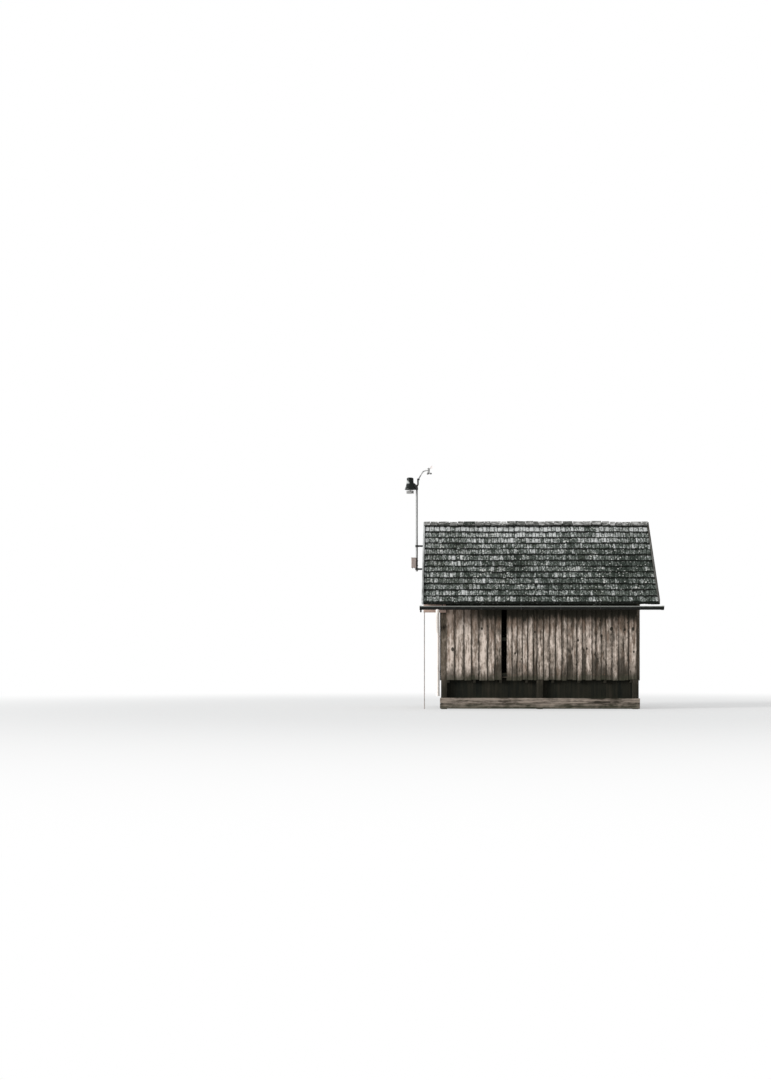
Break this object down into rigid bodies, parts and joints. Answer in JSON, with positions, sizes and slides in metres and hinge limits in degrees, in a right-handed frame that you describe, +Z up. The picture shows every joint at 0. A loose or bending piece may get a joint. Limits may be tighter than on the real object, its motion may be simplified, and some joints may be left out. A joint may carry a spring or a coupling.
{
  "type": "timber hut on posts",
  "caption": "Small timber hut on posts with board walls, a steep shingled gable roof, a half-round front gutter, and a mast with a free-turning cup rotor and wind vane.",
  "frame": {"origin": "foot of the centre pile, in the middle of the nine posts, level with all their feet", "axes": "+Z up, -Y towards the long front wall with the gap between its boards, +X along the ridge away from the mast"},
  "size_m": [5.919, 3.8065, 5.7914],
  "materials": {
    "frame_timber": "sawn and weathered",
    "wall_boards": "silvered boards, darker at the foot",
    "shingles": "split shingles, dark with pale lichen",
    "pale_boards": "bleached boards",
    "fresh_timber": "lightly weathered",
    "zinc": "dull pale sheet",
    "dark_sheet": "dark weathered sheet",
    "galvanised": "dull galvanised",
    "dark_steel": "matte",
    "box_shell": "matte",
    "dark_shell": "satin",
    "grey_shell": "matte",
    "pale_shell": "matte"
  },
  "bodies": {
    "hut": {"corner_posts": "frame_timber", "middle_posts": "frame_timber", "ridge_posts": "frame_timber", "centre_pile": "frame_timber", "wall_plates": "frame_timber", "ridge_beam": "frame_timber", "wall_rails": "frame_timber", "floor_bearers": "frame_timber", "floor_joists": "frame_timber", "floor": "wall_boards", "skirt_boards": "wall_boards", "tie_planks": "wall_boards", "front_wall_left": "wall_boards", "front_wall_right": "wall_boards", "back_wall": "wall_boards", "right_gable_wall": "wall_boards", "left_gable_wall": "wall_boards", "front_rafters": "frame_timber", "back_rafters": "frame_timber", "front_roof_deck": "frame_timber", "back_roof_deck": "frame_timber", "front_shingles": "shingles", "back_shingles": "shingles", "ridge_cap": "shingles", "left_barge_boards": "pale_boards", "right_barge_boards": "frame_timber", "front_gutter": "dark_sheet", "gutter_straps": "dark_sheet", "front_downpipe": "zinc", "pipe_clips": "zinc", "outrigger": "fresh_timber", "outrigger_rod": "galvanised", "mast": "galvanised", "mast_arms": "dark_steel", "instrument_box": "box_shell", "box_straps": "dark_steel", "sensor_hood": "dark_shell", "shield_plates": "grey_shell", "sensor_bracket": "dark_steel", "boom_horn": "dark_steel", "wind_boom": "galvanised"},
    "cup_rotor": {"wind_cups": "dark_shell"},
    "vane": {"wind_vane": "pale_shell"}
  },
  "joints": [
    {"name": "cup_spin", "type": "hinge", "parent": "hut", "child": "cup_rotor", "pos_m": [-2.571, 0, 5.609], "axis": [0, 0, 1], "continuous": true},
    {"name": "vane_turn", "type": "hinge", "parent": "hut", "child": "vane", "pos_m": [-2.571, 0, 5.728], "axis": [0, 0, 1], "continuous": true}
  ]
}
